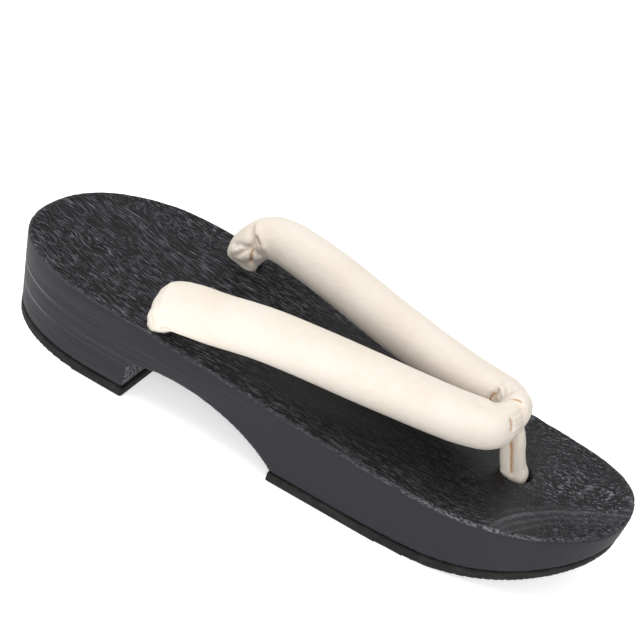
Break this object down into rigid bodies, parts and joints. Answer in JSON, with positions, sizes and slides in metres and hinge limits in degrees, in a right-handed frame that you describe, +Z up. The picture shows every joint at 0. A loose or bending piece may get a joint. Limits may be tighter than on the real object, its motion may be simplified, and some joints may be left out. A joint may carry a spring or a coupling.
{
  "type": "geta sandal",
  "caption": "Wooden geta sandal with a heel block, an arch and a rockered forefoot on rubber treads, and a padded fabric strap held by a toe thong.",
  "frame": {"origin": "on the floor under the middle of the bounding box", "axes": "+X towards the toe, +Y towards the wearer's left, +Z up"},
  "size_m": [0.25, 0.0908, 0.0558],
  "materials": {
    "charred_wood": "satin",
    "tread_rubber": "matte",
    "strap_fabric": "satin",
    "thong_fabric": "satin"
  },
  "bodies": {
    "root": {"wooden_base": "charred_wood", "heel_tread": "tread_rubber", "forefoot_tread": "tread_rubber", "padded_strap": "strap_fabric", "toe_thong": "thong_fabric"}
  },
  "joints": []
}
